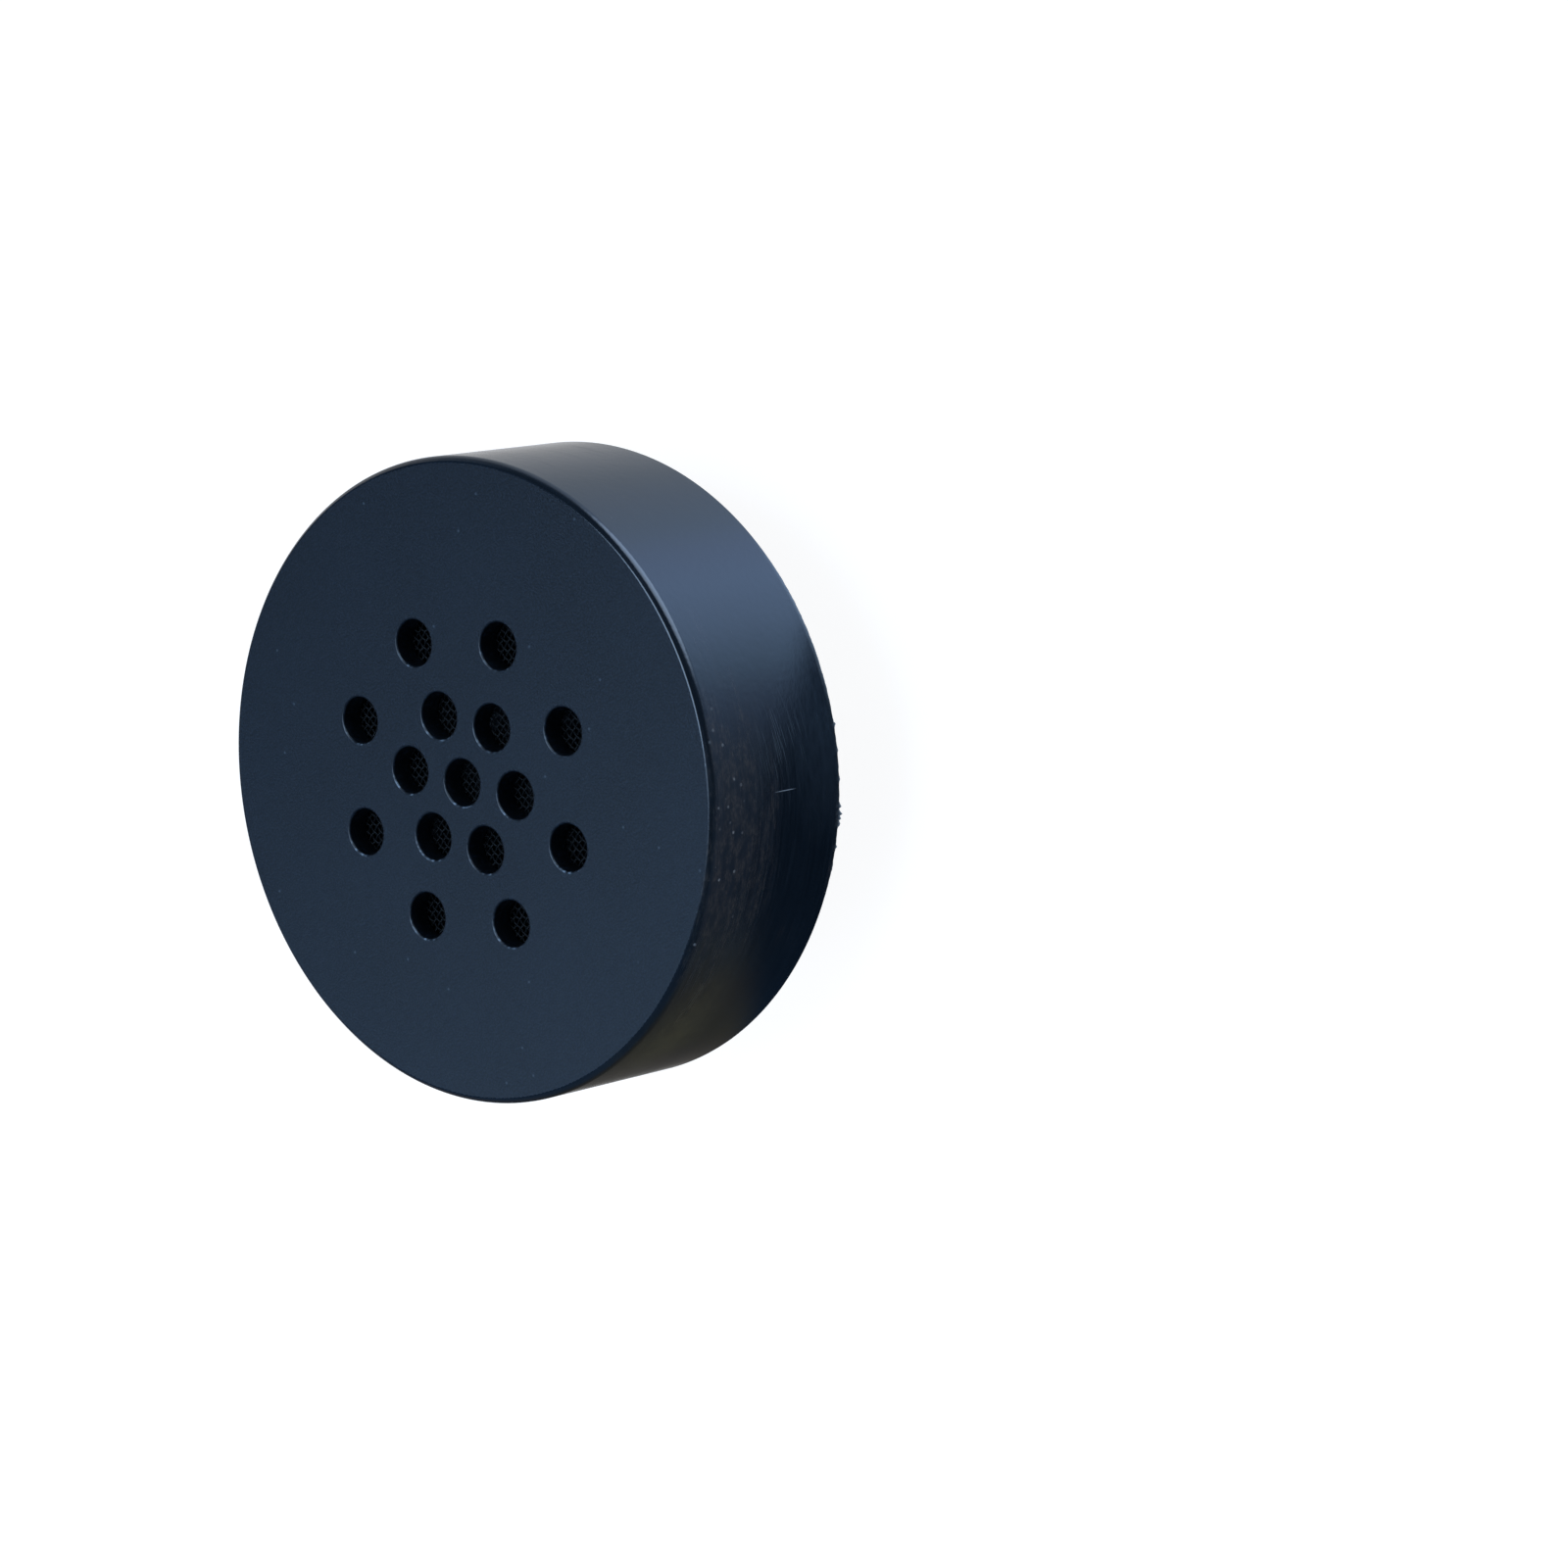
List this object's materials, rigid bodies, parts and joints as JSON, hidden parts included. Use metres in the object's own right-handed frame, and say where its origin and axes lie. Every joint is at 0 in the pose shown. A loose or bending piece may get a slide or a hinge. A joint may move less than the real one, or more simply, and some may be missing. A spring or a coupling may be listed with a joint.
{
  "type": "mini speaker",
  "caption": "Round miniature speaker: a black moulded cup with sound holes in front, closed at the back by a sealed board with solder pins for mounting on a circuit board.",
  "frame": {"origin": "centre of the housing's rear rim plane, midway between the two pins", "axes": "+Z along the axis towards the sound holes, +X towards the plus pin"},
  "size_m": [0.0303, 0.0302, 0.0148],
  "materials": {
    "housing_plastic": "moulded, fine matt grain",
    "screen_cloth": "woven",
    "gasket_card": "matt",
    "clamp_card": "matt",
    "diaphragm_film": "dark smoke tinted gloss",
    "coil_wire": "enamelled copper",
    "basket_steel": "zinc plated, satin",
    "vent_cloth": "woven",
    "yoke_steel": "satin",
    "magnet_nickel": "nickel plated",
    "plate_steel": "satin",
    "terminal_fibre": "matt",
    "wire_red": "semi-gloss",
    "wire_black": "semi-gloss",
    "board_black": "gloss lacquer",
    "pin_tin": "bright tin",
    "solder": "bright, uneven",
    "sealant": "gloss",
    "mark_ink": "matt"
  },
  "bodies": {
    "speaker": {"housing": "housing_plastic", "dust_screen": "screen_cloth", "front_gasket": "gasket_card", "clamp_ring": "clamp_card", "coil_lead_plus": "coil_wire", "coil_lead_minus": "coil_wire", "basket": "basket_steel", "vent_cloth": "vent_cloth", "yoke": "yoke_steel", "magnet": "magnet_nickel", "top_plate": "plate_steel", "terminal_board": "terminal_fibre", "terminal_solder_plus": "solder", "terminal_solder_minus": "solder", "lead_wire_plus": "wire_red", "lead_wire_minus": "wire_black", "rear_board": "board_black", "pin_plus": "pin_tin", "pin_minus": "pin_tin", "pin_solder_plus": "solder", "pin_solder_minus": "solder", "inner_solder_plus": "solder", "inner_solder_minus": "solder", "edge_sealant": "sealant", "plus_mark": "mark_ink", "minus_mark": "mark_ink"},
    "moving_coil": {"voice_coil": "coil_wire", "diaphragm": "diaphragm_film"}
  },
  "joints": [
    {"name": "coil_slide", "type": "slide", "parent": "speaker", "child": "moving_coil", "axis": [0, 0, 1], "range_m": [-0.0003, 0.0003], "stiffness_N_per_m": 1000, "deforming": ["diaphragm", "coil_lead_plus", "coil_lead_minus"]}
  ]
}
